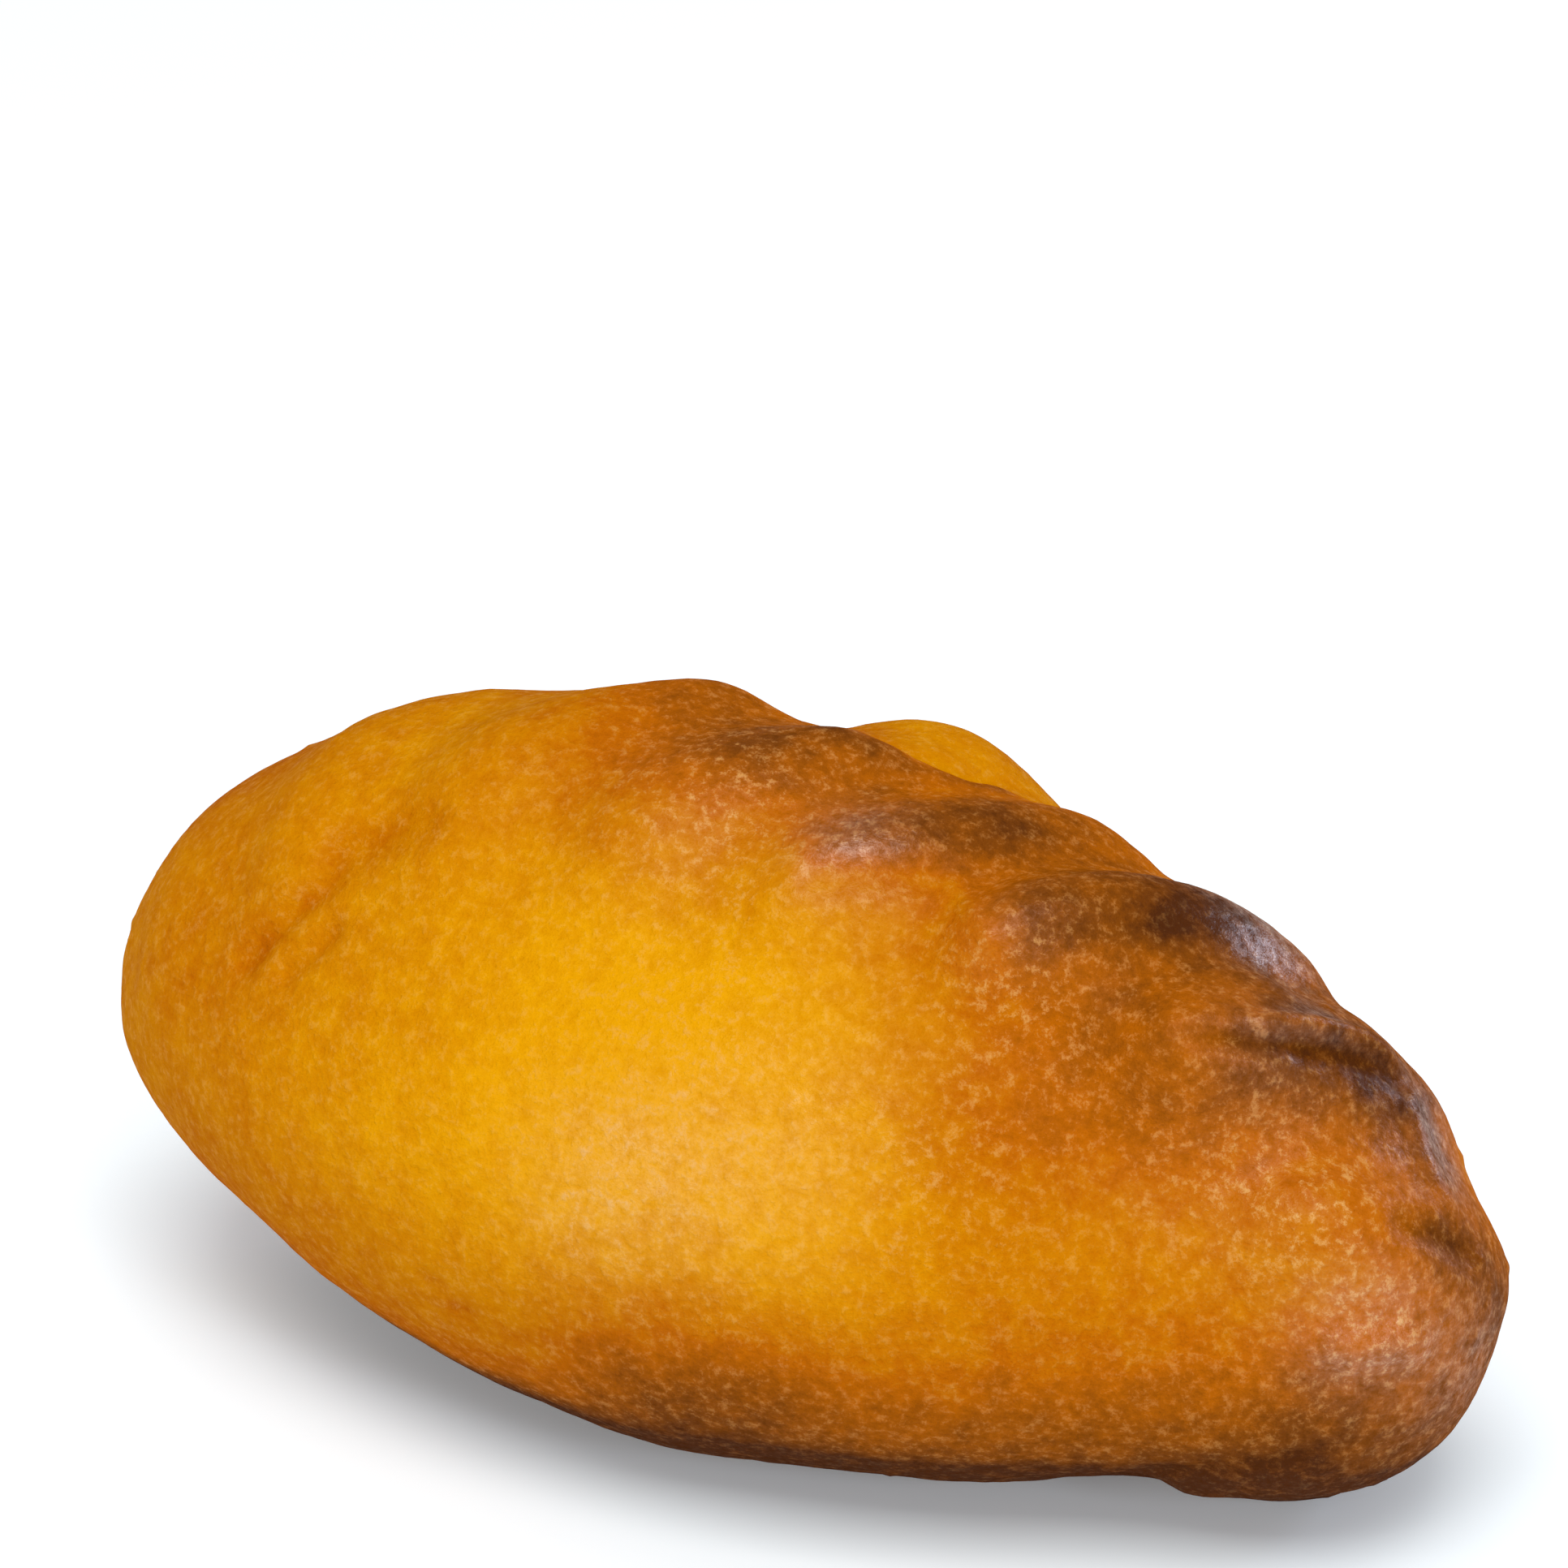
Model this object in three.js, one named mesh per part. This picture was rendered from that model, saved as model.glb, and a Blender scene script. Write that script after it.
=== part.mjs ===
// A salteña: a plump baked pasty, closed along its top by a row of leaning pleats.
// Millimetres, +Z up. Its long side lies along X, and it rests on z = 0.

import * as THREE from 'three';
import { mergeVertices } from 'three/addons/utils/BufferGeometryUtils.js';

// Body: an egg lying on its side, fattest at the belly and slimmer towards the seam's end
const bellyX = -2.7;
const reachLeft = 58.5;
const reachRight = 50.7;
const bellyHalfWidth = 31.3;
const bellyUp = 29.9;
const bellyDown = 24.3;
const fullness = 2.09;
const widthTaper = 0.09;
const upTaper = -0.1;
const downTaper = 0.14;
const axisDrop = 3.3;
const taperLimit = 1.3;

// Underside: the baking sheet flattens the lowest part of the belly
const flattening = 2;
const flatRounding = 1.5;
const axisZ = bellyDown - flattening;

// Seam: the line along the top of the bare body, from its left end over to its right end,
// as turns from straight up
const seamFrom = THREE.MathUtils.degToRad(-90);
const seamTo = THREE.MathUtils.degToRad(110);
const seamPoints = 80;

// Pleats: folds of dough that lean across the seam, low on the left and puffed up on the right
const firstPleat = 27.9;
const pleatPitch = 15.6;
const pleatRises = [-2, 3, 5, 4.4, 3.4, 5.5, 6.6, 7.2];
const pleatLean = THREE.MathUtils.degToRad(43.3);
const pleatTip = THREE.MathUtils.degToRad(8.8);
const pleatReach = new THREE.Vector3(16.5, 7, 9);
const smallestPleat = 0.7;
const growFromX = -55;
const growToX = -10;

// Softness: the folds melt into the dough on the left and stay crisp on the right
const softToX = -30;
const crispFromX = 24;
const softPleatRounding = 5;
const pleatRounding = 4;
const softRopeRounding = 14;
const ropeRounding = 5;

// Lobe: the far end of the fourth pleat, which puffs up behind the seam
const lobePleat = 3;
const lobeAlong = 12.2;
const lobeAside = 5.2;
const lobeRise = 3.4;
const lobeReach = new THREE.Vector3(10, 7.5, 9);
const lobeRounding = 1.5;

// Knob: the seam's rounded right end
const knobCentre = new THREE.Vector3(44.1, -1, 17.1);
const knobReach = new THREE.Vector3(10.9, 11.5, 12.6);
const knobRounding = 13;

// Foot: the seam's tail, tucked under the knob
const footX = 37.9;
const footY = 4;
const footFlattening = 0.8;
const footReach = new THREE.Vector3(14, 12, 11.2);
const footRounding = 3;

// Facets: drawn closer together along the seam, where the folds are
const facetsAround = 76;
const facetsAlong = 78;
const crowding = 0.4;
const spineHalf = 28;
const farthest = 60;
const halvings = 32;
const flatTolerance = 0.01;

// Crust: a glazed golden brown
const crustColour = 0xdc9412;
const crustRoughness = 0.5;

// Joins two distances as one form, with the inner corner between them rounded over a band
function join(a, b, band) {
  const overlap = Math.max(band - Math.abs(a - b), 0) / band;
  return Math.min(a, b) - (overlap * overlap * band) / 4;
}

// Distance from the egg-shaped body, negative inside it
function bodyDistance(point) {
  const along = point.x - bellyX;
  const share = along / (along < 0 ? reachLeft : reachRight);
  const taper = THREE.MathUtils.clamp(share, -taperLimit, taperLimit);
  const height = point.z - (axisZ - axisDrop * taper);
  const reachUp = bellyUp * (1 - upTaper * taper);
  const reachDown = bellyDown * (1 - downTaper * taper);
  const halfWidth = bellyHalfWidth * (1 - widthTaper * taper);
  const section = Math.hypot(point.y / halfWidth, height / (height > 0 ? reachUp : reachDown));
  const size = (Math.abs(share) ** fullness + section ** fullness) ** (1 / fullness);
  return (size - 1) * bellyHalfWidth;
}

// Width of a rounded corner at a place along the pasty, from its soft end to its crisp end
function roundingAt(x, soft, crisp) {
  return THREE.MathUtils.lerp(soft, crisp, THREE.MathUtils.smoothstep(x, softToX, crispFromX));
}

// A lump of dough: an ellipsoid with its own axes and its own rounding where it meets another
function makeLump(centre, reach, rounding, axes = new THREE.Matrix4()) {
  return { reach, rounding, toLocal: axes.clone().setPosition(centre).invert() };
}

// Distance from a lump, negative inside it
function lumpDistance(point, lump) {
  const local = point.clone().applyMatrix4(lump.toLocal).divide(lump.reach);
  const size = local.length();
  const slope = local.divide(lump.reach).length();
  return (size * (size - 1)) / Math.max(slope, Number.EPSILON);
}

// Point at a depth on the ray that leaves the body's straight spine in a direction
function rayPoint(direction, depth) {
  const x = bellyX + (spineHalf + depth) * direction.x;
  return new THREE.Vector3(x, depth * direction.y, axisZ + depth * direction.z);
}

// Point where that ray leaves a form, found by halving
function surfacePoint(distance, direction) {
  let inside = 0;
  let outside = farthest;
  for (let step = 0; step < halvings; step += 1) {
    const middle = (inside + outside) / 2;
    if (distance(rayPoint(direction, middle)) < 0) {
      inside = middle;
    } else {
      outside = middle;
    }
  }
  return rayPoint(direction, inside);
}

// The seam's line, where the upright plane through the spine cuts the bare body
function makeSeam() {
  const points = [];
  for (let i = 0; i <= seamPoints; i += 1) {
    const turn = THREE.MathUtils.lerp(seamFrom, seamTo, i / seamPoints);
    const direction = new THREE.Vector3(Math.sin(turn), 0, Math.cos(turn));
    points.push(surfacePoint(bodyDistance, direction));
  }
  return new THREE.CatmullRomCurve3(points);
}

// Axes of the fold at a distance along the seam: along the fold, across it, and out of the dough
function foldAxes(seam, distance) {
  const place = distance / seam.getLength();
  const tangent = seam.getTangentAt(place);
  const outward = new THREE.Vector3(-tangent.z, 0, tangent.x).applyAxisAngle(tangent, -pleatTip);
  const sideways = new THREE.Vector3(0, 1, 0).applyAxisAngle(tangent, -pleatTip);
  const fold = tangent.multiplyScalar(Math.sin(pleatLean));
  fold.addScaledVector(sideways, Math.cos(pleatLean));
  const across = outward.clone().cross(fold);
  return { origin: seam.getPointAt(place), fold, across, outward };
}

// A lump lying along a fold, its top raised above the seam's line
function makeFoldLump(axes, reach, rounding, rise, along = 0, aside = 0) {
  const centre = axes.origin.clone().addScaledVector(axes.outward, rise - reach.z);
  centre.addScaledVector(axes.fold, along).addScaledVector(axes.across, aside);
  const basis = new THREE.Matrix4().makeBasis(axes.fold, axes.across, axes.outward);
  return makeLump(centre, reach, rounding, basis);
}

// All the folds along the seam, growing from its left end, and the lobe behind one of them
function makeFolds() {
  const seam = makeSeam();
  const axes = pleatRises.map((rise, i) => foldAxes(seam, firstPleat + pleatPitch * i));
  const folds = axes.map((frame, i) => {
    const growth = THREE.MathUtils.smoothstep(frame.origin.x, growFromX, growToX);
    const reach = pleatReach.clone().multiplyScalar(THREE.MathUtils.lerp(smallestPleat, 1, growth));
    const rounding = roundingAt(frame.origin.x, softPleatRounding, pleatRounding);
    return makeFoldLump(frame, reach, rounding, pleatRises[i]);
  });
  folds.push(makeFoldLump(axes[lobePleat], lobeReach, lobeRounding, lobeRise, lobeAlong, lobeAside));
  return folds;
}

// Distance from the whole pasty, negative inside it
function makeCrustDistance() {
  const folds = makeFolds();
  const knob = makeLump(knobCentre, knobReach, knobRounding);
  const footCentre = new THREE.Vector3(footX, footY, footReach.z - footFlattening);
  const foot = makeLump(footCentre, footReach, footRounding);
  return (point) => {
    const withLump = (form, lump) => join(form, lumpDistance(point, lump), lump.rounding);
    const rope = folds.reduce(withLump, farthest);
    const rounding = roundingAt(point.x, softRopeRounding, ropeRounding);
    const form = [knob, foot].reduce(withLump, join(bodyDistance(point), rope, rounding));
    return -join(-form, point.z, flatRounding);
  };
}

// Turns a direction about the spine towards the seam, so that facets are smaller there
function crowdToSeam(direction) {
  const around = Math.atan2(direction.y, direction.z);
  const moved = around - crowding * Math.sin(around);
  const ring = Math.hypot(direction.y, direction.z);
  return new THREE.Vector3(direction.x, ring * Math.sin(moved), ring * Math.cos(moved));
}

// A sphere with its poles at the two ends, drawn out to the pasty's surface
function makeCrustGeometry() {
  const sphere = new THREE.SphereGeometry(1, facetsAround, facetsAlong).rotateZ(-Math.PI / 2);
  sphere.deleteAttribute('normal');
  sphere.deleteAttribute('uv');
  const geometry = mergeVertices(sphere);
  const position = geometry.getAttribute('position');
  const distance = makeCrustDistance();
  const direction = new THREE.Vector3();
  for (let i = 0; i < position.count; i += 1) {
    direction.fromBufferAttribute(position, i);
    const point = surfacePoint(distance, crowdToSeam(direction));
    const height = point.z < flatTolerance ? 0 : point.z;
    position.setXYZ(i, point.x, point.y, height);
  }
  geometry.computeBoundingBox();
  const middle = geometry.boundingBox.getCenter(new THREE.Vector3());
  geometry.translate(-middle.x, -middle.y, 0);
  geometry.computeVertexNormals();
  return geometry;
}

const crust = new THREE.Mesh(
  makeCrustGeometry(),
  new THREE.MeshStandardMaterial({ color: crustColour, roughness: crustRoughness, metalness: 0 }),
);
crust.name = 'crust';

const saltena = new THREE.Group();
saltena.add(crust);

export default saltena;
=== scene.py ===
"""Salteña: a baked pasty with a pleated seam, shown on a plain pale floor."""

import math
from collections import namedtuple

import bpy
import numpy as np
from bpy.props import FloatProperty, FloatVectorProperty, IntProperty, PointerProperty
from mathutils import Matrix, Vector, noise


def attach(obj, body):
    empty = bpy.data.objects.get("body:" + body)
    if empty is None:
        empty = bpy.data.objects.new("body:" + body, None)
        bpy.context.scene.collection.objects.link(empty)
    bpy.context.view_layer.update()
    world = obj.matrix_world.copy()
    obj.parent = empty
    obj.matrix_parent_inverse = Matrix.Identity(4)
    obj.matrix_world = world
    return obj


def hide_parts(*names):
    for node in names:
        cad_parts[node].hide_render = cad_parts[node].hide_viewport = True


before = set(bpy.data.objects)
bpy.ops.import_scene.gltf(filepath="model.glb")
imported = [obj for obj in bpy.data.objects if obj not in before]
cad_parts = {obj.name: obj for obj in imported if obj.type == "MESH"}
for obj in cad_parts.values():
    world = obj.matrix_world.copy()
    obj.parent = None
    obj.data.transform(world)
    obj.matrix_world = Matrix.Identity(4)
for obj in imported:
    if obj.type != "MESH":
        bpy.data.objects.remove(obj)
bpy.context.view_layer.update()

bl_info = {
    "name": "Salteña",
    "version": (1, 0, 0),
    "blender": (4, 5, 0),
    "location": "View3D > Sidebar > Salteña",
    "description": "A baked pasty with a pleated seam, and a plain stage for it",
    "category": "Add Mesh",
}

MM = 0.001
WHITE = (1.0, 1.0, 1.0)

# Camera: the photograph's side in pixels, the sensor's width in mm, and the nearest that it sees in metres
PHOTO_SIZE = 1932
SENSOR_WIDTH = 36.0
NEAREST_SEEN = 0.01

# Form: the limit of the body's taper, the length of a ray from its spine, and the ends of the seam's line
# as turns from straight up in degrees
TAPER_LIMIT = 1.3
RAY_LENGTH = 60 * MM
SEAM_FROM = -90
SEAM_TO = 110

# How closely the form is followed: halvings of a ray, points along the seam, the steps for a tangent and
# for a normal, the least slope that anything is divided by, and the height that still counts as flat
HALVINGS = 26
SEAM_POINTS = 801
TANGENT_STEP = 0.5 * MM
NORMAL_STEP = 0.05 * MM
LEAST_SLOPE = 1e-9
FLAT_TOLERANCE = 0.02 * MM

# Relief: breadth of a blister, the shares of a mark's length where it fades in and out, and the heights
# above the floor where the relief sets in
BLISTER_BREADTH = 0.45 * MM
MARK_FADES_IN = (0, 0.2)
MARK_FADES_OUT = (1, 0.75)
RELIEF_SETS_IN = (0.5 * MM, 4 * MM)

# Hollows before the leftmost pleats: their breadth, where they set in and end along the fold, and how far
# below the fold's middle they reach
HOLLOW_BREADTH = 2.2 * MM
HOLLOW_SETS_IN = (-2 * MM, 9 * MM)
HOLLOW_ENDS = (30 * MM, 12 * MM)
HOLLOW_LOWEST = (-16 * MM, -4 * MM)

# Creases between the pleats: their breadth, and how far outside the pleats they end
CREASE_BREADTH = 0.9 * MM
CREASE_ENDS = (5 * MM, 2 * MM)

# Soft noises: how many finer layers each has and where it starts, so that no two are alike, and how much
# weaker and finer each layer is than the one before
SWELL_NOISE = {"layers": 2, "start": 11.3}
PUCKER_NOISE = {"layers": 3, "start": 47.9}
PATCH_NOISE = {"layers": 3, "start": 5.1}
MARK_NOISE = {"layers": 2, "start": 23.7}
LAYER_FADE = 1.0
LAYER_GAP = 2.0

# A share that changes from low to high between two places
Ramp = namedtuple("Ramp", "start end low high", defaults=(0.0, 1.0))
EVEN = Ramp(0.0, 1.0, 1.0, 1.0)

# Zones that the oven browns, the last one partly painted shade: the amount, then how it changes along x
# and with the height z in mm
Zone = namedtuple("Zone", "browning x z")
BROWNED_ZONES = (
    # Right half, more so higher up
    Zone(0.23, Ramp(6, 34), Ramp(24, 42, 0.5, 1.4)),
    # Right end and left end
    Zone(0.1, Ramp(30, 55), EVEN),
    Zone(0.1, Ramp(-15, -45), EVEN),
    # Top, from the middle to the right
    Zone(0.28, Ramp(-36, 0), Ramp(44, 56)),
    # Lower half, more so on the right, and the edge above the floor, partly browned by the baking sheet
    # and partly darkened as painted shade under the pasty
    Zone(0.44, Ramp(-25, 10, 0.5, 1.0), Ramp(31, 10)),
    Zone(0.58, EVEN, Ramp(11, 4)),
)

# Browning all over and in patches, browning and painted shade on faces that look down, painted shade in
# the creases and hollows, and the patchiness of the marks' browning and painted shade
EVEN_BROWNING = 0.14
PATCH_BROWNING = 0.06
PATCH_BREADTH = 13 * MM
DOWNWARD_BROWNING_AND_SHADE = 0.22
DOWNWARD_SLOPE = (-0.4, -0.85)
CREASE_PAINTED_SHADE = 0.04
HOLLOW_PAINTED_SHADE = 0.04
MARK_PATCHINESS = 0.4
MARK_PATCH_BREADTH = 4.5 * MM

# How fast a pleat's browning fades along the fold and across it, and how high up on it that starts
PLEAT_FADE_ALONG = 1.6
PLEAT_FADE_ACROSS = 2.4
PLEAT_TOP = (0.3, 0.8)

# Egg wash: its shine all over, what dark crust adds to it, and the depth of a mark where it stays matt
EVEN_SHINE = 0.03
DARK_SHINE = 0.03
DARK_BAKE = (0.5, 0.9)
MATT_DEPTH = (-0.8 * MM, -0.1 * MM)

# Crust's material: breadth of its blotches, flecks and grain, and how high their bumps are
BLOTCH_BREADTH = 2.3 * MM
FLECK_BREADTH = 0.9 * MM
GRAIN_BREADTH = 0.4 * MM
FLECK_HEIGHT = 0.7
GRAIN_HEIGHT = 0.2
CRUST_BUMP = 0.4 * MM
GLAZE_BUMP = 0.18 * MM

# How well baked amber, russet and brown crust are, between gold at 0 and char at 1
MIDDLE_SHADES = (0.22, 0.48, 0.77)

# Shading by the blotches and flecks, and how strong it is on crust that is more or less baked
BLOTCH_SHADE = Ramp(0.3, 0.7, 0.07, -0.07)
FLECK_SHADE = Ramp(0.3, 0.7, 0.09, -0.09)
MOTTLE_STRENGTH = Ramp(0.1, 0.6, 0.8, 1.0)

# Cream flecks, partly pale flecks where the egg wash is thin and partly painted sparkle of its shine:
# their share by how well baked the crust is, their fading on dark crust, and which flecks turn cream
CREAM_SHARE = Ramp(0.0, 0.6, 0.14, 0.24)
CREAM_ON_DARK = Ramp(0.75, 0.95, 1.0, 0.3)
CREAM_FLECKS = Ramp(0.53, 0.68)

# Shine by the flecks, and how much smoother or rougher than its middle the grain makes the crust
SPARKLE = Ramp(0.36, 0.66, 0.3, 2.0)
GRAIN_SPREAD = (0.3, 0.7)
SMOOTHER = 0.08
ROUGHER = 0.12

# Sockets of a Mix node for colours: its share and two colours, and its result
MIX_INPUTS = (0, 6, 7)
MIX_RESULT = 2

# One lamp: its turn round the pasty and its height in degrees, its distance and side in metres, its power
# in watts and its colour
Lamp = namedtuple("Lamp", "name azimuth elevation distance side watts colour")
LAMPS = (
    Lamp("key", -14, 20, 1.5, 0.42, 2.3, WHITE),
    Lamp("overhead", 24, 65, 3.0, 1.8, 60, WHITE),
    Lamp("rim", 151, 12, 1.2, 0.3, 3.8, (0.68, 0.77, 1.0)),
    Lamp("side", 64, 22, 1.2, 0.2, 2.4, (0.85, 0.88, 1.0)),
)
LAMP_AIM = Vector((0, 0, 0.03))

# One lump of dough: where it is, its axes as rows, its reach along them, and how softly it joins on
Lump = namedtuple("Lump", "centre axes reach rounding")

# How far each pleat rises above the seam's line, from the left end to the right
PLEAT_RISES = np.array((-2.0, 3.0, 5.0, 4.4, 3.4, 5.5, 6.6, 7.2)) * MM
LOBE_PLEAT = 3

# How much darker each pleat is baked than the dough round it
PLEAT_BROWNING = (0.0, 0.0, 0.04, 0.1, 0.14, 0.12, 0.16, 0.12)

# Bulges and hollows of the hand-shaped dough: middle and breadth in mm, and height in mm
BULGES = (
    ((43, 7, 40), 3.5, 1.0),
    ((19.5, 9, 49.5), 4, 0.85),
    ((10.5, 18, 49.5), 3.5, -0.4),
    ((-6.5, 11, 54), 2.6, -0.9),
    ((-12.5, 6.5, 56), 3, 0.65),
    ((-27, 7, 53), 3, -0.55),
    ((-40, -0.5, 50), 4, 0.45),
    ((-54, -15.5, 22.5), 5, 0.7),
    ((-57, -10, 34), 5, -0.4),
    ((-40.5, -21, 13), 6, -1.1),
    ((-26, -22, 8), 6, -0.35),
    ((-2, -21, 4.5), 7, 0.9),
    ((19, -16, 4), 5, 0.3),
    ((36, -12, 6), 1.8, -0.9),
    ((40, -11, 5.5), 2.2, 0.5),
    ((48.5, -5, 4), 4, -0.45),
    ((59, 4, 16), 4, -0.5),
    ((58, 6, 21.5), 3.5, 0.4),
    ((51.5, 9, 31.5), 4, 0.3),
)

# Spots that are baked paler or darker than their surroundings, a few of them painted light and shade as
# noted: middle and breadth in mm, and amount
BAKED_AND_SHADED_SPOTS = (
    ((3, -26, 38), 15, -0.15),
    ((-4, 26, 36), 16, -0.06),
    ((30, -14, 42), 9, 0.12),
    ((-9, 0, 57), 8, 0.22),
    ((58, -3, 28), 5, 0.22),
    ((59.5, -4, 19), 7, -0.08),
    ((4, -28, 13), 7, 0.2),
    ((12, -29, 14), 6, 0.08),
    # Paler middle of the lobe: partly less baked, partly painted light making up for the crest's shade on
    # it
    ((5.5, 11.5, 54), 5, -0.27),
    # Darker in the pocket under the lip: painted shade
    ((50, 0, 38.5), 2.2, 0.2),
    ((46, -10, 8), 7, 0.1),
    ((-38, -18, 40), 13, 0.09),
    ((36.5, 1.5, 48), 4, 0.16),
    ((40.5, 5.5, 42.5), 4, 0.16),
    ((50.5, 2, 37.5), 4, 0.14),
    # Darker at the left end of the crease under the lip: painted shade
    ((43.5, -8.5, 43.5), 2.2, 0.14),
    ((37, -10, 46), 5, 0.05),
    ((30.5, -6.5, 51), 3, -0.08),
    ((59.5, 0.5, 23), 4, 0.1),
    ((-27, 24, 34), 8, 0.06),
    ((22, 21, 37), 7, 0.08),
    ((-46, 13, 36), 7, 0.06),
)

# Spots where the egg wash is thick enough to shine: middle and breadth in mm, and amount
GLAZED_SPOTS = (
    ((-1, -29, 31), 4.5, 0.65),
    ((6, -28, 33), 4.5, 0.45),
    ((14, -26, 34.5), 4.5, 0.4),
    ((-4, -11, 54), 6, 0.12),
    ((9, -9.5, 54), 3, 1.0),
    ((24, -12, 50), 3, 0.25),
    ((38, 3.5, 45.5), 3.2, 0.75),
    ((53, 2.5, 33.5), 3.2, 0.45),
    ((50, -6, 36), 5, 0.15),
    ((54.5, -12, 24.5), 3.4, 1.4),
    ((59, -5, 19), 4, 0.4),
    ((46, -4, 43), 3, 0.3),
    ((42.5, -8.5, 44.5), 2.5, 0.4),
    ((44, -13, 34), 5, 0.18),
    ((-8, 28, 35), 5, 0.14),
    ((-20, 25, 38), 5, 0.1),
)

# Spots with more cream flecks than their surroundings, most of them painted sparkle where the egg wash
# shines on the belly, the seam, the right face and the knob: middle and breadth in mm, and amount
CREAM_AND_SPARKLE_SPOTS = (
    ((-1, -10.5, 54), 6, 0.4),
    ((3, -29, 31.5), 6, 0.3),
    ((-3, -29.5, 30), 4, 0.25),
    ((4, -22.5, 42.5), 5, 0.2),
    ((20.5, -24, 35), 5, 0.25),
    ((25, -13.5, 47.5), 3.5, 0.3),
    ((26.5, -16, 41.5), 6, 0.15),
    ((41.5, -12.5, 35), 5, 0.18),
    ((47.5, -12, 32.5), 4, 0.4),
    ((51.5, -11.5, 33), 3.5, 0.3),
    ((54.5, -11.5, 24), 3.2, 0.6),
    ((-8, 28, 34), 6, 0.25),
    ((24, 20, 38), 6, 0.25),
)
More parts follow.
